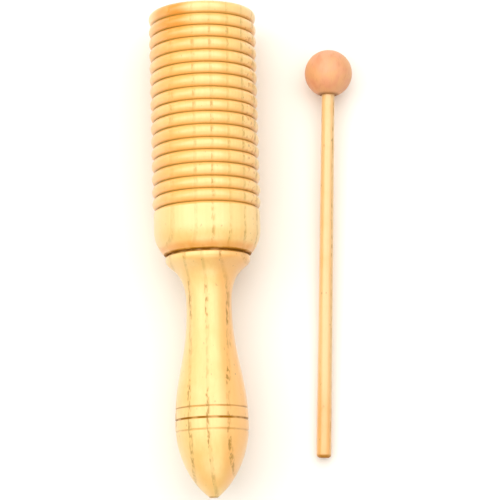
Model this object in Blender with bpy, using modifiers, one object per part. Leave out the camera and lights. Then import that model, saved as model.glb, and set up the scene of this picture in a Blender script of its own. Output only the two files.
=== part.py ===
"""A turned wooden guiro and its mallet, lying side by side on a flat surface.

The guiro is a ribbed barrel, bored hollow from its mouth, on a turned handle.
The mallet is a wooden ball on a tapered stick.
Axes: +Y along the guiro towards its mouth, +X towards the mallet, +Z up.
The origin is the centre of the footprint, on the surface that the pieces lie on.
"""
import math

import bmesh
import bpy

# Driving dimensions, in metres.
GAP = 0.0003                # between two pieces that are glued together

BARREL_RADIUS = 0.0280      # over the ribs and over the plain band
BARREL_LENGTH = 0.1285      # from the seam with the handle to the mouth
GROOVE_COUNT = 16
FIRST_GROOVE = 0.0235       # from the seam to the groove nearest to it
GROOVE_PITCH = 0.0066
GROOVE_DEPTH = 0.0022
MOUTH_ROUND = 0.0027        # radius of the mouth's outer edge
BASE_ROUND = 0.017          # radius of the curve from the barrel down to the seam
BASE_HEIGHT = 0.013         # how far above the seam that curve begins
BORE_RADIUS = 0.018
BORE_DEPTH = 0.110
BORE_CHAMFER = 0.0006

HANDLE_LENGTH = 0.1246      # from the seam to the tip
FLANGE_RADIUS = 0.0218
FLANGE_HEIGHT = 0.0025
FLANGE_ROUND = 0.0008
WAIST_RADIUS = 0.0116
WAIST_HEIGHT = -0.026       # heights on the handle are below the seam
BULB_RADIUS = 0.0187
BULB_HEIGHT = -0.088
TIP_RADIUS = 0.0026
TIP_HEIGHT = 0.0006
RING_HEIGHTS = (-0.0793, -0.0851, -0.0909)
RING_WIDTH = 0.0008
RING_DEPTH = 0.0004
TENON_RADIUS = 0.009
TENON_LENGTH = 0.014
SOCKET_DEPTH = TENON_LENGTH + 0.0005

BALL_RADIUS = 0.0125
BALL_X = 0.0660             # from the guiro's axis to the ball's centre
BALL_Y = 0.0986             # from the seam to the ball's centre, towards the mouth
STICK_REACH = 0.2035        # from the ball's centre to the stick's free end
STICK_HEAD_RADIUS = 0.0034
STICK_END_RADIUS = 0.0038
STICK_CHAMFER = 0.0010
STICK_DEPTH = 0.002         # from the ball's centre to the stick's glued end
MALLET_YAW = math.radians(2.6)

SEGMENTS = 32               # sides of the barrel and handle: one side faces down
STICK_SEGMENTS = 16
BEAD_STEPS = 4              # straight pieces across one rib
CURVE_STEPS = 7             # straight pieces along one curve of the outline

# Where the pieces lie, worked out from the sizes above.
FOOTPRINT_WIDTH = BARREL_RADIUS + BALL_X + BALL_RADIUS
GUIRO_X = BARREL_RADIUS - FOOTPRINT_WIDTH / 2
SEAM_Y = (BARREL_LENGTH + HANDLE_LENGTH) / 2 - BARREL_LENGTH
STICK_REST = STICK_REACH - STICK_CHAMFER    # where the free end touches the surface
MALLET_PITCH = (math.asin(BALL_RADIUS / math.hypot(STICK_REST, STICK_END_RADIUS))
                - math.atan2(STICK_END_RADIUS, STICK_REST))

PALE_ASH = (0.86, 0.68, 0.34)
PEACH_BEECH = (0.86, 0.51, 0.25)


def clear_scene():
    for thing in list(bpy.data.objects):
        bpy.data.objects.remove(thing, do_unlink=True)


def new_collection(name):
    collection = bpy.data.collections.new(name)
    bpy.context.scene.collection.children.link(collection)
    return collection


def wood(name, colour, roughness):
    """A bare or lacquered wood."""
    material = bpy.data.materials.new(name)
    material.use_nodes = True
    shader = material.node_tree.nodes["Principled BSDF"]
    shader.inputs["Base Color"].default_value = (*colour, 1.0)
    shader.inputs["Roughness"].default_value = roughness
    shader.inputs["Metallic"].default_value = 0.0
    return material


def arc(centre, radius, start, end, steps):
    """Points (radius, height) on a circle, between two angles from the outward direction."""
    angles = [start + (end - start) * step / steps for step in range(steps + 1)]
    return [(centre[0] + radius * math.cos(a), centre[1] + radius * math.sin(a)) for a in angles]


def bezier(start, handle_a, handle_b, end, steps):
    """Points on a cubic curve; the start is left out, because the outline already has it."""
    points = []
    for step in range(1, steps + 1):
        t = step / steps
        weights = ((1 - t) ** 3, 3 * (1 - t) ** 2 * t, 3 * (1 - t) * t ** 2, t ** 3)
        corners = (start, handle_a, handle_b, end)
        points.append(tuple(sum(w * c[i] for w, c in zip(weights, corners)) for i in range(2)))
    return points


def score(outline, height):
    """Cut one V-shaped ring into an outline that runs downwards."""
    top = height + RING_WIDTH / 2
    bottom = height - RING_WIDTH / 2

    def radius_at(level):
        for (r_a, z_a), (r_b, z_b) in zip(outline, outline[1:]):
            if z_a >= level > z_b:
                return r_a + (r_b - r_a) * (level - z_a) / (z_b - z_a)
        raise ValueError("the ring is off the outline")

    ring = [(radius_at(top), top), (radius_at(height) - RING_DEPTH, height), (radius_at(bottom), bottom)]
    above = [p for p in outline if p[1] > top + RING_WIDTH]
    below = [p for p in outline if p[1] < bottom - RING_WIDTH]
    return above + ring + below


def turned(name, outline, segments, material, collection, parent):
    """Spin an outline of (radius, height) points about the parent's Z axis.

    The flat sides, not the corners, lie at the outline's radius, and one of them faces down.
    """
    to_corner = 1 / math.cos(math.pi / segments)
    mesh = bpy.data.meshes.new(name)
    points = [(radius * to_corner, 0, height) for radius, height in outline]
    mesh.from_pydata(points, [(i, i + 1) for i in range(len(points) - 1)], [])
    piece = bpy.data.objects.new(name, mesh)
    collection.objects.link(piece)
    mesh.materials.append(material)
    piece.parent = parent
    piece.rotation_euler = (0, 0, math.pi / segments)
    spin = piece.modifiers.new("spin", "SCREW")
    spin.axis = "Z"
    spin.steps = segments
    spin.render_steps = segments
    spin.use_merge_vertices = True
    spin.merge_threshold = 0.00001
    spin.use_smooth_shade = True
    return piece


def axis_empty(name, location, rotation, collection):
    """A turned piece's axis: its own +Z is the axis, towards the mouth or the mallet's head."""
    empty = bpy.data.objects.new(name, None)
    collection.objects.link(empty)
    empty.location = location
    empty.rotation_euler = rotation
    empty.empty_display_size = BALL_RADIUS
    return empty


def barrel_outline():
    """Bore floor, bore wall, mouth, ribs, base and socket, in that order."""
    bead_round = ((GROOVE_PITCH / 2) ** 2 + GROOVE_DEPTH ** 2) / (2 * GROOVE_DEPTH)
    bead_turn = math.asin(GROOVE_PITCH / 2 / bead_round)
    crest_centre = BARREL_RADIUS - bead_round
    half = BEAD_STEPS // 2
    last_groove = FIRST_GROOVE + (GROOVE_COUNT - 1) * GROOVE_PITCH
    mouth_crest = last_groove + GROOVE_PITCH / 2

    outline = [
        (0, BARREL_LENGTH - BORE_DEPTH),
        (BORE_RADIUS, BARREL_LENGTH - BORE_DEPTH),
        (BORE_RADIUS, BARREL_LENGTH - BORE_CHAMFER),
        (BORE_RADIUS + BORE_CHAMFER, BARREL_LENGTH),
    ]
    mouth_centre = (BARREL_RADIUS - MOUTH_ROUND, mouth_crest)
    outline += arc(mouth_centre, MOUTH_ROUND, math.pi / 2, 0, BEAD_STEPS)
    outline += arc((crest_centre, mouth_crest), bead_round, 0, -bead_turn, half)[1:]
    for rib in range(GROOVE_COUNT - 1):
        middle = mouth_crest - (rib + 1) * GROOVE_PITCH
        outline += arc((crest_centre, middle), bead_round, bead_turn, -bead_turn, BEAD_STEPS)[1:]
    band_top = FIRST_GROOVE - GROOVE_PITCH / 2
    outline += arc((crest_centre, band_top), bead_round, bead_turn, 0, half)[1:]
    base_centre = (BARREL_RADIUS - BASE_ROUND, BASE_HEIGHT)
    outline += arc(base_centre, BASE_ROUND, 0, -math.asin(BASE_HEIGHT / BASE_ROUND), CURVE_STEPS)
    outline += [
        (TENON_RADIUS + GAP, 0),
        (TENON_RADIUS + GAP, SOCKET_DEPTH),
        (0, SOCKET_DEPTH),
    ]
    return outline


def handle_outline():
    """Tenon, flange, cove, waist, bulb and tip, in that order."""
    shoulder = -GAP
    outline = [
        (0, TENON_LENGTH - GAP),
        (TENON_RADIUS, TENON_LENGTH - GAP),
        (TENON_RADIUS, shoulder),
        (FLANGE_RADIUS - FLANGE_ROUND, shoulder),
        (FLANGE_RADIUS, shoulder - FLANGE_ROUND),
        (FLANGE_RADIUS, -FLANGE_HEIGHT),
    ]
    waist = (WAIST_RADIUS, WAIST_HEIGHT)
    bulb = (BULB_RADIUS, BULB_HEIGHT)
    tip = (TIP_RADIUS, TIP_HEIGHT - HANDLE_LENGTH)
    outline += bezier(outline[-1], (FLANGE_RADIUS, -0.0075), (WAIST_RADIUS, -0.006), waist, CURVE_STEPS)
    outline += bezier(waist, (WAIST_RADIUS, -0.054), (BULB_RADIUS, -0.062), bulb, CURVE_STEPS)
    outline += bezier(bulb, (BULB_RADIUS, -0.096), (0.016, -0.1129), tip, CURVE_STEPS)
    outline.append((0, -HANDLE_LENGTH))
    for height in RING_HEIGHTS:
        outline = score(outline, height)
    return outline


def stick_outline():
    """The glued end is inside the ball, below its centre."""
    return [
        (0, -STICK_DEPTH),
        (STICK_HEAD_RADIUS, -STICK_DEPTH),
        (STICK_END_RADIUS, -STICK_REST),
        (STICK_END_RADIUS - STICK_CHAMFER, -STICK_REACH),
        (0, -STICK_REACH),
    ]


def drilled_ball(name, material, collection, cutters, parent):
    """A ball with a blind hole for the stick."""
    mesh = bpy.data.meshes.new(name)
    shape = bmesh.new()
    bmesh.ops.create_uvsphere(shape, u_segments=SEGMENTS, v_segments=STICK_SEGMENTS, radius=BALL_RADIUS)
    shape.to_mesh(mesh)
    shape.free()
    mesh.materials.append(material)
    mesh.shade_smooth()
    mesh.set_sharp_from_angle(angle=math.radians(40))
    ball = bpy.data.objects.new(name, mesh)
    collection.objects.link(ball)
    ball.parent = parent

    hole_top = -STICK_DEPTH + GAP
    hole_bottom = -BALL_RADIUS * 1.2
    drill_outline = [
        (0, hole_top),
        (STICK_HEAD_RADIUS + GAP, hole_top),
        (STICK_HEAD_RADIUS + GAP, hole_bottom),
        (0, hole_bottom),
    ]
    drill = turned("stick_drill", drill_outline, STICK_SEGMENTS, material, cutters, parent)
    drill.hide_render = True
    drill.display_type = "WIRE"
    cut = ball.modifiers.new("stick_hole", "BOOLEAN")
    cut.operation = "DIFFERENCE"
    cut.solver = "EXACT"
    cut.object = drill
    return ball


def build():
    clear_scene()
    parts = new_collection("guiro")
    cutters = new_collection("cutters")

    along_y = -math.pi / 2      # turns a piece's own +Z to the world's +Y
    guiro_axis = axis_empty("guiro_axis", (GUIRO_X, SEAM_Y, BARREL_RADIUS), (along_y, 0, 0), parts)
    turned("resonator_barrel", barrel_outline(), SEGMENTS, wood("barrel_wood", PALE_ASH, 0.4), parts, guiro_axis)
    turned("handle", handle_outline(), SEGMENTS, wood("handle_wood", PALE_ASH, 0.38), parts, guiro_axis)

    ball_centre = (GUIRO_X + BALL_X, SEAM_Y + BALL_Y, BALL_RADIUS)
    mallet_turn = (along_y + MALLET_PITCH, 0, -MALLET_YAW)
    mallet_axis = axis_empty("mallet_axis", ball_centre, mallet_turn, parts)
    turned("mallet_stick", stick_outline(), STICK_SEGMENTS, wood("stick_wood", PALE_ASH, 0.5), parts, mallet_axis)
    drilled_ball("mallet_head", wood("head_wood", PEACH_BEECH, 0.45), parts, cutters, mallet_axis)


build()
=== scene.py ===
import math
import random

import bpy
from mathutils import Matrix, Vector, noise


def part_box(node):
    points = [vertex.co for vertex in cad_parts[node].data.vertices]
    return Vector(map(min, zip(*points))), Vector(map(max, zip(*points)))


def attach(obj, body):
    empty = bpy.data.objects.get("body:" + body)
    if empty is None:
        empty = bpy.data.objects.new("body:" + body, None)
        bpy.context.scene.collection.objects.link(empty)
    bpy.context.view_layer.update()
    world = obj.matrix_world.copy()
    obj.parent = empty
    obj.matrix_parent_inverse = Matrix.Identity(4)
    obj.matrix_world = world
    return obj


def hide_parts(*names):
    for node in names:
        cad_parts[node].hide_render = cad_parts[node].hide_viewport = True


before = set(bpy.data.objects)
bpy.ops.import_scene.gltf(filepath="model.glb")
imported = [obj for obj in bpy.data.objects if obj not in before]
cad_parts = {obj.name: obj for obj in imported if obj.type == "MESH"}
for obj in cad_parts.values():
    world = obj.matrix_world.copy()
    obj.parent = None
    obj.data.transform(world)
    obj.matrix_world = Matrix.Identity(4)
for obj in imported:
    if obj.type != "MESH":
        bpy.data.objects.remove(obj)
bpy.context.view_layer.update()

# ---------------------------------------------------------------- places, from the frame
# Lengths are in metres. Heights along the guiro are measured from the seam, mouth end up.
BARREL_LOW, BARREL_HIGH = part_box("resonator_barrel")
HANDLE_LOW, HANDLE_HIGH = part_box("handle")
STICK_LOW, STICK_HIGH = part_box("mallet_stick")
HEAD_LOW, HEAD_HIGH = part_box("mallet_head")

RIB_RADIUS = (BARREL_HIGH.x - BARREL_LOW.x) / 2
BARREL_LENGTH = BARREL_HIGH.y - BARREL_LOW.y
SEAM = Vector(((BARREL_LOW.x + BARREL_HIGH.x) / 2, BARREL_LOW.y, (BARREL_LOW.z + BARREL_HIGH.z) / 2))
HANDLE_LENGTH = SEAM.y - HANDLE_LOW.y
TENON_LENGTH = HANDLE_HIGH.y - SEAM.y
FLANGE_RADIUS = (HANDLE_HIGH.x - HANDLE_LOW.x) / 2
BALL_RADIUS = (HEAD_HIGH.x - HEAD_LOW.x) / 2
BALL_CENTRE = Vector((
    (HEAD_LOW.x + HEAD_HIGH.x) / 2,
    HEAD_HIGH.y - BALL_RADIUS,
    (HEAD_LOW.z + HEAD_HIGH.z) / 2,
))

# ---------------------------------------------------------------- shapes
SEGMENTS = 256              # sides of the barrel and the handle
BALL_SEGMENTS = 128
STICK_SEGMENTS = 64
SHARP_ANGLE = 50            # in degrees; flatter edges are shaded smooth

# the barrel's outside
GROOVE_COUNT = 16
FIRST_GROOVE = 0.0235       # height of the groove nearest to the handle
GROOVE_PITCH = 0.0066
GROOVE_DEPTH = 0.0022
DRIFT = 0.00098             # size of the slow change in the grooves' places
DRIFT_MIDDLE = 0.00062      # taken off, so that the grooves stay near their even places
WOBBLE = 0.00023            # size of the quick change
BEAD_STEPS = 14             # flats along one rib's arc
MOUTH_ROUND = 0.0027        # radius of the mouth's outer edge
BAND_DROP = 0.0005          # how far the plain band lies below the ribs
BAND_SHOULDER = 0.0022      # how far the band rounds over into the first groove
SHOULDER_PULL = 0.0008      # how far the points that pull this rounding lie from its ends
PULL_INSET = 0.0002         # how far the upper of them lies inside the band's surface
BASE_ROUND = 0.0181         # radius of the rounding below the band
BASE_HEIGHT = 0.013         # height at which that rounding starts
BASE_EDGE = 0.0006          # radius of the barrel's edge at the seam
UNEVENNESS = 0.00006        # how far the turned surface wavers
GROOVE_SHADE_HEIGHT = 0.0013        # how far up the ribs' flanks the painted shade and dirt in the grooves reach
BORE_MARGIN = 0.002         # how far inside the grooves' bottoms the ribs' marks and painted shade may reach, short of the bore

# the barrel's inside
BORE_RADIUS = 0.018
BORE_DEPTH = 0.110
BORE_EDGE = 0.0007          # radius of the mouth's inner edge
CENTRE_MARK = ((0, 0.0014), (0.0011, 0.0002), (0.0016, 0))      # radius and depth of the drill's point
SPUR_WIDTH = 0.0006         # the ring that the drill's rim cuts round the bore's floor
SPUR_DEPTH = 0.0004
SOCKET_RADIUS = 0.0093
SOCKET_DEPTH = 0.0145

# the handle, with the points that pull its curves
SEAM_GAP = 0.0008           # width of the open line between flange and barrel
SEAM_DEPTH = 0.0017         # how deep that line is
SEAM_FIT = 0.00002          # gap where the two pieces are glued
FLANGE_HEIGHT = 0.0025
FLANGE_EDGE = 0.0009
COVE_PULLS = (-0.0075, -0.006)
WAIST = (0.0116, -0.026)    # radius and height
GRIP_PULLS = (-0.054, -0.062)
BULB = (0.0187, -0.088)
BULB_PULL = -0.096
TIP_PULL = (0.016, -0.1129)
TIP_RADIUS = 0.0026         # of the small flat where the handle was cut off
TIP_EDGE = 0.0006           # bevel round it
TIP_CROWN = 0.0001          # how far the middle of that flat stands out
TENON_RADIUS = 0.009
TENON_BEVEL = 0.0008
RING_HEIGHTS = (-0.0795, -0.0853, -0.0912)
RING_WIDTHS = (0.0008, 0.0011, 0.0009)
RING_STAINS = (0.55, 1.0, 0.35)     # how strongly each scored ring is stained
RING_DEPTH = 0.0004

# the mallet
STICK_HEAD_RADIUS = 0.0034
STICK_END_RADIUS = 0.0038
STICK_END_EDGE = 0.0018
STICK_DEPTH = 0.002         # from the ball's centre to the stick's glued end
HOLE_FIT = 0.00008          # gap between the stick and its hole, all round
HOLE_SPACE = 0.0008         # gap between the stick's glued end and the hole's end
HOLE_EDGE = 0.0008


def groove_height(number):
    """Hand-fed grooves: their spacing drifts and wobbles a little along the barrel."""
    drift = DRIFT * math.sin(0.15 * number + 0.53) - DRIFT_MIDDLE
    wobble = WOBBLE * math.sin(1.96 * number + 0.95)
    return FIRST_GROOVE + number * GROOVE_PITCH + drift + wobble


def arc(centre, radius, start, end, steps):
    """Points (radius, height) on a circle, between two angles in degrees from the outward direction."""
    points = []
    for step in range(steps + 1):
        angle = math.radians(start + (end - start) * step / steps)
        points.append((centre[0] + radius * math.cos(angle), centre[1] + radius * math.sin(angle)))
    return points


def bezier(start, handle_a, handle_b, end, steps):
    """Points on a cubic curve, without its first point."""
    points = []
    for step in range(1, steps + 1):
        t = step / steps
        weights = ((1 - t) ** 3, 3 * (1 - t) ** 2 * t, 3 * (1 - t) * t ** 2, t ** 3)
        corners = (start, handle_a, handle_b, end)
        points.append(tuple(sum(w * c[i] for w, c in zip(weights, corners)) for i in range(2)))
    return points


def straight(start, end, steps):
    """Points along a straight line, without its first point."""
    return [tuple(a + (b - a) * step / steps for a, b in zip(start, end)) for step in range(1, steps + 1)]


def bead(low, high, start, end, steps):
    """One rib between two grooves, as an arc.

    start and end are 1 at its top, 0 at its crest and -1 at its bottom.
    """
    half = (high - low) / 2
    radius = (half ** 2 + GROOVE_DEPTH ** 2) / (2 * GROOVE_DEPTH)
    turn = math.degrees(math.asin(half / radius))
    return arc((RIB_RADIUS - radius, (low + high) / 2), radius, start * turn, end * turn, steps)


def bore_outline():
    """From the middle of the bore's floor up to the inner edge of the mouth's rim."""
    floor = BARREL_LENGTH - BORE_DEPTH
    edge_height = BARREL_LENGTH - BORE_EDGE
    outline = [(radius, floor - depth) for radius, depth in CENTRE_MARK]
    outline += straight(outline[-1], (BORE_RADIUS - 2 * SPUR_WIDTH, floor), 8)
    outline += [(BORE_RADIUS - SPUR_WIDTH, floor - SPUR_DEPTH), (BORE_RADIUS, floor - SPUR_DEPTH)]
    outline += straight(outline[-1], (BORE_RADIUS, edge_height), 60)
    outline += arc((BORE_RADIUS + BORE_EDGE, edge_height), BORE_EDGE, 180, 90, 5)[1:]
    return outline


def barrel_outline():
    """Up the bore, over the mouth's rim, down the ribs and the plain band, and into the socket."""
    outline = bore_outline()
    grooves = [groove_height(number) for number in range(GROOVE_COUNT)]
    mouth_crest = BARREL_LENGTH - MOUTH_ROUND
    mouth_shoulder = arc((RIB_RADIUS - MOUTH_ROUND, mouth_crest), MOUTH_ROUND, 90, 0, 12)
    outline += straight(outline[-1], mouth_shoulder[0], 6)
    outline += mouth_shoulder[1:]
    outline += bead(grooves[-1], 2 * mouth_crest - grooves[-1], 0, -1, BEAD_STEPS // 2)[1:]
    for low, high in zip(reversed(grooves[:-1]), reversed(grooves[1:])):
        outline += bead(low, high, 1, -1, BEAD_STEPS)[1:]
    band_radius = RIB_RADIUS - BAND_DROP
    shoulder = (band_radius, grooves[0] - BAND_SHOULDER)
    wall_pull = (band_radius - PULL_INSET, grooves[0] - SHOULDER_PULL)
    shoulder_pull = (band_radius, shoulder[1] + SHOULDER_PULL)
    outline += bezier(outline[-1], wall_pull, shoulder_pull, shoulder, 8)
    outline += straight(outline[-1], (band_radius, BASE_HEIGHT), 6)
    base_turn = -math.degrees(math.asin((BASE_HEIGHT - BASE_EDGE) / BASE_ROUND))
    outline += arc((band_radius - BASE_ROUND, BASE_HEIGHT), BASE_ROUND, 0, base_turn, 24)[1:]
    edge_radius, edge_height = outline[-1]
    outline += arc((edge_radius - BASE_EDGE, edge_height), BASE_EDGE, 0, -90, 5)[1:]
    outline += straight(outline[-1], (SOCKET_RADIUS, 0), 4)
    outline += [(SOCKET_RADIUS, SOCKET_DEPTH), (0, SOCKET_DEPTH)]
    return outline


def scored(outline, height, width):
    """Cut one V-shaped ring, with softened lips, into an outline that runs downwards."""
    reach = width / 2

    def radius_at(level):
        for (r_a, z_a), (r_b, z_b) in zip(outline, outline[1:]):
            if z_a >= level > z_b:
                return r_a + (r_b - r_a) * (level - z_a) / (z_b - z_a)
        raise ValueError("the ring is off the outline")

    cut = []
    for share, depth in ((1.6, 0), (1, 0.1), (0.3, 0.9), (-0.3, 0.9), (-1, 0.1), (-1.6, 0)):
        level = height + share * reach
        cut.append((radius_at(level) - depth * RING_DEPTH, level))
    above = [p for p in outline if p[1] > height + 2 * reach]
    below = [p for p in outline if p[1] < height - 2 * reach]
    return above + cut + below


def handle_outline():
    """Down the tenon, the flange, the cove, the waist and the grip, to the tip."""
    outline = [(0, TENON_LENGTH), (TENON_RADIUS - TENON_BEVEL, TENON_LENGTH)]
    outline += [(TENON_RADIUS, TENON_LENGTH - TENON_BEVEL), (TENON_RADIUS, -SEAM_FIT)]
    collar = FLANGE_RADIUS - SEAM_DEPTH
    edge = FLANGE_RADIUS - FLANGE_EDGE
    outline += straight(outline[-1], (collar, -SEAM_FIT), 5)
    outline += [(collar, -SEAM_GAP), (edge, -SEAM_GAP)]
    outline += arc((edge, -SEAM_GAP - FLANGE_EDGE), FLANGE_EDGE, 90, 0, 6)[1:]
    rim = (FLANGE_RADIUS, -FLANGE_HEIGHT)
    tip = (TIP_RADIUS, TIP_EDGE - HANDLE_LENGTH)
    outline += straight(outline[-1], rim, 3)
    outline += bezier(rim, (FLANGE_RADIUS, COVE_PULLS[0]), (WAIST[0], COVE_PULLS[1]), WAIST, 36)
    outline += bezier(WAIST, (WAIST[0], GRIP_PULLS[0]), (BULB[0], GRIP_PULLS[1]), BULB, 60)
    outline += bezier(BULB, (BULB[0], BULB_PULL), TIP_PULL, tip, 44)
    outline += [(TIP_RADIUS - TIP_EDGE, -HANDLE_LENGTH + TIP_CROWN), (0, -HANDLE_LENGTH)]
    for height, width in zip(RING_HEIGHTS, RING_WIDTHS):
        outline = scored(outline, height, width)
    return outline


def head_outline():
    """A bead, from its pole round to the stick's hole and up the hole."""
    hole = STICK_HEAD_RADIUS + HOLE_FIT
    rim = hole + HOLE_EDGE
    rim_turn = -math.degrees(math.acos(rim / BALL_RADIUS))
    outline = [(0, BALL_RADIUS)]
    outline += arc((0, 0), BALL_RADIUS, 90, rim_turn, 90)[1:]
    hole_end = HOLE_SPACE - STICK_DEPTH
    outline += [(hole, outline[-1][1] + HOLE_EDGE), (hole, hole_end), (0, hole_end)]
    return outline


def stick_outline(length):
    """A dowel whose glued end is at height 0, tapering out a little to its rounded free end."""
    end_height = -length + STICK_END_EDGE
    outline = [(0, 0), (STICK_HEAD_RADIUS, 0)]
    outline += straight(outline[-1], (STICK_END_RADIUS, end_height), 80)
    outline += arc((STICK_END_RADIUS - STICK_END_EDGE, end_height), STICK_END_EDGE, 0, -80, 7)[1:]
    outline += [(0, -length)]
    return outline


def turned(name, outline, segments, shift=None):
    """A closed mesh: an outline of (radius, height) points that starts and ends on the axis, spun about Z.

    shift(angle, radius, height) gives how far a point stands out from the true turned surface.
    """
    rings = outline[1:-1]
    vertices = [(0, 0, outline[0][1])]
    for radius, height in rings:
        for step in range(segments):
            angle = 2 * math.pi * step / segments
            out = radius + (shift(angle, radius, height) if shift else 0)
            vertices.append((out * math.cos(angle), out * math.sin(angle), height))
    vertices.append((0, 0, outline[-1][1]))
    last = len(vertices) - 1
    faces = []
    for step in range(segments):
        following = (step + 1) % segments
        faces.append((0, 1 + step, 1 + following))
        for ring in range(len(rings) - 1):
            upper = 1 + ring * segments
            lower = upper + segments
            faces.append((upper + step, lower + step, lower + following, upper + following))
        bottom = last - segments
        faces.append((bottom + step, last, bottom + following))
    mesh = bpy.data.meshes.new(name)
    mesh.from_pydata(vertices, [], faces)
    mesh.update()
    mesh.shade_smooth()
    mesh.set_sharp_from_angle(angle=math.radians(SHARP_ANGLE))
    piece = bpy.data.objects.new(name, mesh)
    bpy.context.scene.collection.objects.link(piece)
    return piece


# ---------------------------------------------------------------- materials
def rgb(red, green, blue):
    return (red, green, blue, 1.0)


# ash, as it looks under the lacquer
SUMMER_WOOD = rgb(0.95, 0.63, 0.225)
DENSE_WOOD = rgb(0.93, 0.53, 0.155)
PALE_CLOUD = rgb(0.96, 0.70, 0.29)
WARM_CLOUD = rgb(0.94, 0.50, 0.12)
STREAK = rgb(0.90, 0.50, 0.135)
EARLY_WOOD = rgb(0.70, 0.45, 0.12)
RIGHT_SIDE_DARK = rgb(0.90, 0.41, 0.11)
PORE = rgb(0.39, 0.205, 0.028)
SPECK = rgb(0.30, 0.16, 0.05)
END_GRAIN = rgb(0.93, 0.42, 0.09)
RING_ARC = rgb(0.52, 0.24, 0.05)

# what lacquer, dirt, wear and painted shade add to it
POOLED_LACQUER_AND_SHADE = rgb(0.88, 0.45, 0.095)
CLOUDY_LEFT_SHADE = rgb(0.92, 0.45, 0.085)
PLAIN_BAND = rgb(0.97, 0.72, 0.32)
LACQUER_RUN = rgb(0.81, 0.32, 0.025)
GROOVE_DIRT_AND_SHADE = rgb(0.41, 0.26, 0.042)
TORN_FIBRE = rgb(0.58, 0.25, 0.05)
ORANGE_WASH = rgb(0.84, 0.33, 0.03)
SEAM_BROWN = rgb(0.40, 0.16, 0.004)
RING_BROWN = rgb(0.32, 0.13, 0.003)

# the mallet's ball
BEECH = rgb(0.76, 0.335, 0.172)
PALE_BEECH = rgb(0.79, 0.395, 0.222)
BEECH_BLOTCH = rgb(0.69, 0.275, 0.13)
BEECH_OCHRE = rgb(0.78, 0.41, 0.175)
BEECH_FLECK = rgb(0.56, 0.25, 0.11)
BEECH_FIBRE = rgb(0.70, 0.30, 0.13)
HOLE_SHADE = rgb(0.38, 0.16, 0.04)

FLOOR_WHITE = rgb(0.92, 0.917, 0.905)


class Graph:
    """Shader nodes, written in the order that they are read."""

    def __init__(self, name):
        self.material = bpy.data.materials.new(name)
        self.material.use_nodes = True
        self.tree = self.material.node_tree

    def plug(self, socket, value):
        if isinstance(value, bpy.types.NodeSocket):
            self.tree.links.new(value, socket)
        else:
            socket.default_value = value

    def node(self, kind, values=(), **settings):
        made = self.tree.nodes.new(kind)
        for key, value in settings.items():
            setattr(made, key, value)
        for key, value in dict(values).items():
            self.plug(made.inputs[key], value)
        return made

    def math(self, operation, a, b=0.0, c=0.0, clamp=False):
        made = self.node("ShaderNodeMath", {0: a, 1: b, 2: c}, operation=operation, use_clamp=clamp)
        return made.outputs[0]

    def product(self, first, *others):
        for other in others:
            first = self.math("MULTIPLY", first, other)
        return first

    def vector(self, operation, a, b=(0, 0, 0)):
        made = self.node("ShaderNodeVectorMath", {0: a, 1: b}, operation=operation)
        return made.outputs["Value" if operation in ("LENGTH", "DOT_PRODUCT") else "Vector"]

    def axis(self, vector, letter):
        return self.node("ShaderNodeSeparateXYZ", {0: vector}).outputs[letter]

    def coordinates(self, kind="Object"):
        return self.node("ShaderNodeTexCoord").outputs[kind]

    def noise(self, where, stretch, detail=2.0, roughness=0.5):
        """Soft noise from 0 to 1; stretch is how many features fit in a metre, along X, Y and Z."""
        scaled = self.vector("MULTIPLY", where, stretch)
        values = {"Vector": scaled, "Scale": 1.0, "Detail": detail, "Roughness": roughness}
        return self.node("ShaderNodeTexNoise", values).outputs["Fac"]

    def ramp(self, value, low, high, to_low=0.0, to_high=1.0):
        """value from low to high becomes to_low to to_high, with soft ends, and stays there outside."""
        values = {"Value": value, "From Min": low, "From Max": high, "To Min": to_low, "To Max": to_high}
        return self.node("ShaderNodeMapRange", values, interpolation_type="SMOOTHSTEP").outputs["Result"]

    def mix(self, share, a, b, blend="MIX"):
        made = self.node("ShaderNodeMix", data_type="RGBA", blend_type=blend)
        self.plug(made.inputs["Factor"], share)
        self.plug(made.inputs["A"], a)
        self.plug(made.inputs["B"], b)
        return made.outputs["Result"]

    def bump(self, height, distance, below=None):
        values = {"Height": height, "Distance": distance, "Strength": 1.0}
        made = self.node("ShaderNodeBump", values)
        if below is not None:
            self.plug(made.inputs["Normal"], below)
        return made.outputs["Normal"]

    def surface(self, values):
        """Set the shader's sockets, and give the finished material."""
        shader = self.tree.nodes["Principled BSDF"]
        for key, value in values.items():
            self.plug(shader.inputs[key], value)
        return self.material


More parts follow.
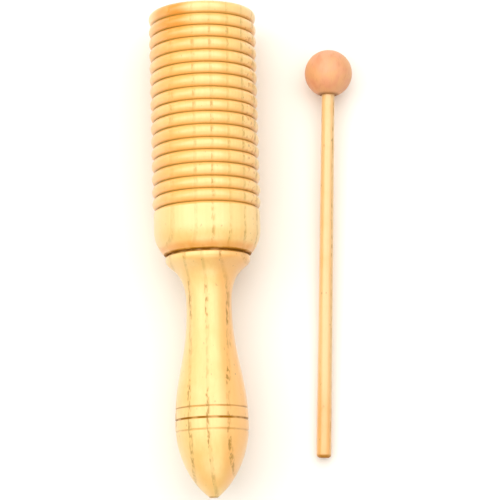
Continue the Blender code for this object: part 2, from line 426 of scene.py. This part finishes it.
def between_ribs(g, colour, where, tone, grooves):
    """Lacquer, painted shade, dirt and wear on the ribs, and the paler band. -X is the guiro's left, and -Y
    is its top.
    """
    bottom, shade_top, lowest, highest = grooves
    across = g.vector("MULTIPLY", where, (1, 1, 0))
    radius = g.vector("LENGTH", across)
    around = g.vector("NORMALIZE", across)
    sideways = g.axis(where, "X")
    height = g.axis(where, "Z")
    outside = g.math("GREATER_THAN", radius, bottom - BORE_MARGIN)
    ribbed = g.product(g.math("GREATER_THAN", height, lowest), g.math("LESS_THAN", height, highest), outside)

    # lacquer pooled on the ribs' flanks, with painted shade that deepens towards the grooves and is strongest
    # on the left
    pooled_and_shade = g.product(ribbed, g.ramp(sideways, -0.026, -0.008, 1.0, 0.5))
    flank = g.ramp(radius, bottom, RIB_RADIUS, 1.0, 0.0)
    colour = g.mix(g.product(pooled_and_shade, flank), colour, POOLED_LACQUER_AND_SHADE)

    # painted shade on the ribs' left side, made cloudy by the wood's tone and stronger towards the mouth
    left = g.ramp(sideways, -0.027, 0.006, 1.0, 0.0)
    cloudy = g.ramp(tone, 0.35, 0.6, 0.4, 1.0)
    towards_mouth = g.ramp(height, 0.09, BARREL_LENGTH, 0.75, 1.3)
    colour = g.mix(g.product(ribbed, g.product(left, cloudy, towards_mouth)), colour, CLOUDY_LEFT_SHADE)
    band = g.product(g.math("SUBTRACT", 1.0, ribbed), g.ramp(height, 0.006, BASE_HEIGHT, 0.0, 0.35))
    colour = g.mix(band, colour, PLAIN_BAND)

    # lacquer that ran and set thicker, on the first ribs at the mouth's left
    run = g.ramp(g.vector("DOT_PRODUCT", around, (-0.66, -0.75, 0)), 0.84, 0.985)
    run_end = g.ramp(height, BARREL_LENGTH - 0.026, BARREL_LENGTH - 0.006, 0.0, 1.0)
    colour = g.mix(g.product(run, run_end, outside, g.ramp(tone, 0.3, 0.6, 0.55, 1.0)), colour, LACQUER_RUN)

    # painted shade in the bottom of the grooves, strongest on the left, with some dirt
    dirt_and_shade = g.product(ribbed, g.ramp(sideways, -0.027, -0.006, 1.0, 0.75))
    deep = g.ramp(radius, bottom, shade_top, 1.0, 0.0)
    colour = g.mix(g.product(dirt_and_shade, deep), colour, GROOVE_DIRT_AND_SHADE)

    # fibres torn where the grain runs out of the surface, on the right
    fibres = g.ramp(g.noise(where, (520, 520, 420), 1.0), 0.58, 0.68, 0.0, 0.6)
    runout = g.ramp(g.vector("DOT_PRODUCT", around, (0.88, -0.47, 0)), 0.965, 0.995)
    return g.mix(g.product(ribbed, g.product(runout, fibres)), colour, TORN_FIBRE)


def ash(name, pith, ring_width, roughness, pore_depth, orange=0.6, tint=(1, 1, 1), darker_right=None, grooves=None,
        stains=()):
    """Pale ring-porous wood under a thin satin lacquer. Z is along the grain.

    pith is the tree's middle, seen from the piece's axis, and ring_width is a year's growth. pore_depth is
    how dark the pores are, orange is how far the end grain darkens, and tint multiplies the colour.
    darker_right is (start, end, strength) of a darkening towards the +X side. grooves is (radius at the
    bottom, radius where the painted shade and dirt in the grooves end, lowest height, highest height).
    stains are rings round the piece: (height, half width, strength, colour).
    """
    g = Graph(name)
    where = g.coordinates()
    normal = g.coordinates("Normal")
    facing = g.math("ABSOLUTE", g.axis(normal, "Z"))
    height = g.axis(where, "Z")

    # growth rings, as distance from the pith, bent by a slow warp
    warp = g.math("MULTIPLY_ADD", g.noise(where, (30, 30, 7), 3.0), 0.005, -0.0025)
    outward = g.vector("SUBTRACT", g.vector("MULTIPLY", where, (1, 1, 0)), (*pith, 0))
    years = g.math("DIVIDE", g.math("ADD", g.vector("LENGTH", outward), warp), ring_width)
    season = g.math("FRACT", years)
    early = g.product(g.ramp(season, 0.0, 0.06), g.ramp(season, 0.12, 0.28, 1.0, 0.0))
    late = g.ramp(season, 0.55, 0.98)

    # colour: pale summer wood, a touch darker where the wood is dense, with streaks along the grain
    streaks = g.noise(where, (700, 700, 14), 3.0, 0.6)
    cloud = g.noise(where, (45, 45, 12), 2.0)
    tone = g.noise(g.vector("ADD", where, (0.7, 0.2, 0.4)), (60, 60, 75), 2.0)
    colour = g.mix(g.product(late, 0.45), SUMMER_WOOD, DENSE_WOOD)
    colour = g.mix(g.ramp(cloud, 0.35, 0.7, 0.0, 0.35), colour, PALE_CLOUD)
    colour = g.mix(g.ramp(tone, 0.48, 0.75, 0.0, 0.4), colour, WARM_CLOUD)
    colour = g.mix(g.ramp(streaks, 0.35, 0.75, 0.0, 0.30), colour, STREAK)
    colour = g.mix(g.product(early, 0.5), colour, EARLY_WOOD)
    # darker towards the piece's +X side, the guiro's right
    if darker_right:
        start, end, strength = darker_right
        side = g.math("ADD", g.axis(where, "X"), warp)
        colour = g.mix(g.ramp(side, start, end, 0.0, strength), colour, RIGHT_SIDE_DARK)

    # pores: short soft dashes along the grain, crowded in the early wood, in patches. They fade where the
    # surface is across the grain, and where it lies flat along a growth ring.
    flat_cut = g.math("ABSOLUTE", g.vector("DOT_PRODUCT", normal, g.vector("NORMALIZE", outward)))
    side_grain = g.product(g.ramp(facing, 0.2, 0.7, 1.0, 0.3), g.ramp(flat_cut, 0.88, 0.99, 1.0, 0.3))
    patches = g.ramp(g.noise(where, (120, 120, 45), 1.0), 0.38, 0.62, 0.25, 1.0)
    crowd = g.product(g.math("MULTIPLY_ADD", early, 0.9, 0.05), g.product(patches, side_grain))
    dashes = g.noise(where, (850, 850, 300), 1.0)
    pores = g.product(g.ramp(dashes, 0.45, 0.60), crowd)
    colour = g.mix(g.product(pores, pore_depth), colour, PORE)

    # rare dark specks
    specks = g.noise(where, (900, 900, 420), 0.0)
    colour = g.mix(g.ramp(specks, 0.80, 0.85, 0.0, 0.5), colour, SPECK)

    # end grain drinks the lacquer and turns orange, and shows each year's vessels as a broken arc
    end_grain = g.ramp(facing, 0.4, 0.88)
    colour = g.mix(g.product(end_grain, orange), colour, END_GRAIN)
    butt = g.ramp(facing, 0.93, 0.99)
    vessels = g.ramp(g.noise(where, (1500, 1500, 60), 0.0), 0.52, 0.64, 0.35, 1.0)
    colour = g.mix(g.product(butt, early, vessels, 0.75), colour, RING_ARC)
    colour = g.mix(1.0, colour, rgb(*tint), "MULTIPLY")

    if grooves:
        colour = between_ribs(g, colour, where, tone, grooves)

    # stained rings; the wood is bare of lacquer there, except under the orange wash, which keeps the coat. On
    # the guiro the rings at the seam are partly painted shade
    uneven = g.ramp(g.noise(where, (160, 160, 30)), 0.3, 0.6, 0.55, 1.0)
    bare = g.product(pores, 0.6)
    for level, half_width, strength, stain in stains:
        offset = g.math("ABSOLUTE", g.math("SUBTRACT", height, level))
        line = g.product(g.ramp(offset, half_width * 0.4, half_width, strength, 0.0), uneven)
        colour = g.mix(line, colour, stain)
        if stain is not ORANGE_WASH:
            bare = g.math("MAXIMUM", bare, line)

    # satin: a little uneven, and duller over pores and end grain
    gloss = g.math("MULTIPLY_ADD", g.noise(where, (90, 90, 35), 3.0), 0.16, roughness - 0.08)
    gloss = g.math("MULTIPLY_ADD", pores, 0.25, gloss)
    gloss = g.math("MULTIPLY_ADD", end_grain, 0.2, gloss, clamp=True)

    # surface: the fine rings that a lathe tool leaves, raised fibres and open pores
    tool = g.noise(where, (12, 12, 1300), 2.0)
    relief = g.bump(tool, 0.00004)
    relief = g.bump(streaks, 0.00006, relief)
    relief = g.bump(g.math("SUBTRACT", 1.0, pores), 0.00012, relief)
    return g.surface({
        "Base Color": colour,
        "Roughness": gloss,
        "IOR": 1.47,
        "Specular IOR Level": 0.2,
        "Coat Weight": g.math("SUBTRACT", 1.0, bare, clamp=True),
        "Coat IOR": 1.75,
        "Coat Roughness": 0.36,
        "Normal": relief,
    })


def beech(name):
    """Pinkish, fine and even wood with small darker flecks, rubbed to a low sheen."""
    g = Graph(name)
    where = g.coordinates()
    cloud = g.noise(where, (120, 120, 60), 3.0)
    blotch = g.noise(g.vector("ADD", where, (3.1, 1.7, 0.4)), (260, 200, 120), 2.0)
    ochre = g.noise(g.vector("ADD", where, (0.3, 4.2, 1.9)), (150, 180, 130), 2.0)
    flecks = g.noise(where, (1600, 420, 260), 1.0)
    fibres = g.noise(where, (2200, 2200, 120), 2.0)
    colour = g.mix(g.ramp(cloud, 0.3, 0.7), BEECH, PALE_BEECH)
    colour = g.mix(g.ramp(blotch, 0.48, 0.72, 0.0, 0.55), colour, BEECH_BLOTCH)
    colour = g.mix(g.ramp(ochre, 0.42, 0.62, 0.0, 0.65), colour, BEECH_OCHRE)
    colour = g.mix(g.ramp(flecks, 0.60, 0.70, 0.0, 0.25), colour, BEECH_FLECK)
    colour = g.mix(g.ramp(fibres, 0.4, 0.8, 0.0, 0.2), colour, BEECH_FIBRE)

    # painted shade round the stick's hole, where the stick meets the ball
    reach = g.vector("LENGTH", g.vector("MULTIPLY", where, (1, 1, 0)))
    below = g.math("LESS_THAN", g.axis(where, "Z"), 0.0)
    colour = g.mix(g.product(below, g.ramp(reach, 0.0045, 0.0066, 1.0, 0.0)), colour, HOLE_SHADE)

    relief = g.bump(fibres, 0.00004)
    relief = g.bump(g.math("SUBTRACT", 1.0, flecks), 0.00004, relief)
    return g.surface({
        "Base Color": colour,
        "Roughness": g.math("MULTIPLY_ADD", g.noise(where, (200, 200, 200), 2.0), 0.15, 0.42),
        "IOR": 1.47,
        "Coat Weight": 0.1,
        "Coat Roughness": 0.35,
        "Normal": relief,
    })


def paper_white(name):
    g = Graph(name)
    tooth = g.noise(g.coordinates(), (900, 900, 900), 2.0)
    return g.surface({
        "Base Color": FLOOR_WHITE,
        "Roughness": 0.9,
        "Specular IOR Level": 0.1,
        "Normal": g.bump(tooth, 0.00002),
    })


# ---------------------------------------------------------------- pieces
ALONG_GUIRO = Matrix.Rotation(-math.pi / 2, 4, "X")     # a piece's own +Z becomes the world's +Y


def finish_piece(piece, material, body, node):
    piece.data.materials.append(material)
    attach(piece, body)
    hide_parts(node)


def chips(count, seed, low, high):
    """Small tear-outs on the ribs' edges: (angle, height, half width, half length, depth)."""
    dice = random.Random(seed)
    marks = []
    for _ in range(count):
        marks.append((
            dice.uniform(-math.pi, math.pi),
            groove_height(dice.randrange(GROOVE_COUNT)) + dice.choice((-1, 1)) * dice.uniform(0.0006, 0.0012),
            dice.uniform(0.0008, 0.0020),
            dice.uniform(0.0004, 0.0007),
            dice.uniform(0.00010, 0.00030),
        ))
    return [mark for mark in marks if low < mark[1] < high]


def make_barrel():
    marks = chips(90, 7, groove_height(0), groove_height(GROOVE_COUNT - 1))

    def shift(angle, radius, height):
        if radius < RIB_RADIUS - 2 * GROOVE_DEPTH:
            return 0
        # the surface wavers slowly round the barrel, and faster along it
        place = Vector((math.cos(angle) * 2, math.sin(angle) * 2, height * 160))
        out = UNEVENNESS * noise.noise(place)
        for mark_angle, mark_height, half_width, half_length, depth in marks:
            if abs(height - mark_height) > half_length:
                continue
            turn = (angle - mark_angle + math.pi) % (2 * math.pi) - math.pi
            around = abs(turn) * RIB_RADIUS / half_width
            if around < 1:
                along = (height - mark_height) / half_length
                out -= depth * (1 - around ** 2) * (1 - along ** 2)
        return min(out, 0)

    piece = turned("ribbed_barrel", barrel_outline(), SEGMENTS, shift)
    piece.matrix_world = Matrix.Translation(SEAM) @ ALONG_GUIRO
    bottom = RIB_RADIUS - GROOVE_DEPTH
    lowest = groove_height(0) - GROOVE_PITCH / 4
    highest = BARREL_LENGTH - 2 * MOUTH_ROUND
    grooves = (bottom, bottom + GROOVE_SHADE_HEIGHT, lowest, highest)
    # the orange wash at the seam is painted shade on the barrel's underside, by the handle; the seam's brown
    # is a glue line with painted shade in the open gap
    stains = [(0, 0.0048, 0.75, ORANGE_WASH), (0, 0.0009, 1.0, SEAM_BROWN)]
    material = ash("barrel_ash", (-0.3006, -0.1395), 0.009, 0.36, 0.6, grooves=grooves, stains=stains)
    finish_piece(piece, material, "guiro", "resonator_barrel")


def make_handle():
    piece = turned("turned_handle", handle_outline(), SEGMENTS)
    piece.matrix_world = Matrix.Translation(SEAM) @ ALONG_GUIRO
    rings = zip(RING_HEIGHTS, RING_WIDTHS, RING_STAINS)
    stains = [(height, width * 0.75, strength, RING_BROWN) for height, width, strength in rings]
    # the brown at the seam is a glue line with painted shade in the open gap; the brown at -HANDLE_LENGTH is
    # a dark line round the tip
    stains += [(-SEAM_GAP / 2, 0.0013, 1.0, SEAM_BROWN), (-HANDLE_LENGTH, 0.0009, 0.7, SEAM_BROWN)]
    # darker towards the handle's +X side, its right
    darker_right = (0.0022, 0.0085, 0.5)
    material = ash("handle_ash", (-0.3975, 0.0695), 0.0094, 0.34, 0.9, orange=0.0, darker_right=darker_right, stains=stains)
    finish_piece(piece, material, "guiro", "handle")


def stick_ends():
    """The middles of the CAD stick's free end and glued end."""
    points = [vertex.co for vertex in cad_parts["mallet_stick"].data.vertices]
    free = [p for p in points if p.y < STICK_LOW.y + STICK_HEAD_RADIUS / 2]
    glued = [p for p in points if p.y > STICK_HIGH.y - STICK_HEAD_RADIUS / 2]
    return [sum(group, Vector()) / len(group) for group in (free, glued)]


def make_mallet():
    free_end, glued_end = stick_ends()
    direction = (glued_end - free_end).normalized()
    turn = direction.to_track_quat("Z", "Y").to_matrix().to_4x4()

    head = turned("mallet_ball", head_outline(), BALL_SEGMENTS)
    head.matrix_world = Matrix.Translation(BALL_CENTRE) @ turn
    finish_piece(head, beech("head_beech"), "mallet", "mallet_head")

    glued_point = BALL_CENTRE - direction * STICK_DEPTH
    length = (glued_point - free_end).dot(direction)
    stick = turned("mallet_dowel", stick_outline(length), STICK_SEGMENTS)
    stick.matrix_world = Matrix.Translation(glued_point) @ turn
    stains = [(-length, 0.05, 0.38, ORANGE_WASH), (-length, 0.0022, 0.9, SEAM_BROWN)]
    material = ash("stick_ash", (0.02, 0.03), 0.0045, 0.42, 0.7, tint=(0.87, 0.83, 0.97), stains=stains)
    finish_piece(stick, material, "mallet", "mallet_stick")


# ---------------------------------------------------------------- stage, light and camera
LIGHT_DISTANCE = 1.4
LIGHT_COLOUR = (1.0, 0.965, 0.90)
SKY_COLOUR = rgb(1.0, 0.97, 0.92)
SKY_STRENGTH = 0.12
CAMERA_LENS = 158.9         # in millimetres, on a 36 mm sensor
CAMERA_OFFSET = Vector((0.0218, -0.1974, 1.1200))       # from the seam
CAMERA_LEAN = 10.1          # in degrees from straight down
CAMERA_ROLL = -1.639


def make_stage():
    bpy.ops.mesh.primitive_plane_add(size=4.0, location=(0, 0, 0))
    floor = bpy.context.object
    floor.name = "floor"
    floor.data.materials.append(paper_white("floor_white"))


def softbox(name, tilt_x, tilt_y, size, power):
    """A lamp that faces the guiro's middle; tilts in degrees from straight above, size across and along."""
    lamp = bpy.data.lights.new(name, "AREA")
    lamp.shape = "RECTANGLE"
    lamp.size, lamp.size_y = size
    lamp.energy = power
    lamp.color = LIGHT_COLOUR
    box = bpy.data.objects.new(name, lamp)
    bpy.context.scene.collection.objects.link(box)
    direction = Vector((math.tan(math.radians(tilt_x)), math.tan(math.radians(tilt_y)), 1)).normalized()
    box.location = SEAM + direction * LIGHT_DISTANCE
    box.rotation_mode = "QUATERNION"
    box.rotation_quaternion = direction.to_track_quat("Z", "Y")


def make_light():
    softbox("top_softbox", -2, 12, (2.6, 1.7), 30.6)
    softbox("front_softbox", 0, -50, (1.4, 0.6), 5.2)
    softbox("back_softbox", 0, 52, (1.4, 0.6), 4.4)
    softbox("left_softbox", -55, 10, (0.9, 1.2), 4.6)
    softbox("right_softbox", 55, 5, (0.9, 1.2), 2.6)
    world = bpy.data.worlds.new("studio")
    bpy.context.scene.world = world
    world.use_nodes = True
    background = world.node_tree.nodes["Background"]
    background.inputs["Color"].default_value = SKY_COLOUR
    background.inputs["Strength"].default_value = SKY_STRENGTH
    bpy.context.scene.view_settings.view_transform = "Standard"


def make_camera():
    """Nearly overhead, leaning a little from the handle's side, through a long lens."""
    lens = bpy.data.cameras.new("camera")
    lens.lens = CAMERA_LENS
    lens.sensor_width = 36.0
    lens.clip_start = 0.05
    lens.clip_end = 20.0
    camera = bpy.data.objects.new("camera", lens)
    bpy.context.scene.collection.objects.link(camera)
    lean = Matrix.Rotation(math.radians(CAMERA_LEAN), 4, "X")
    roll = Matrix.Rotation(math.radians(CAMERA_ROLL), 4, "Z")
    camera.matrix_world = Matrix.Translation(SEAM + CAMERA_OFFSET) @ lean @ roll
    bpy.context.scene.camera = camera


make_camera()
make_barrel()
make_handle()
make_mallet()
make_stage()
make_light()
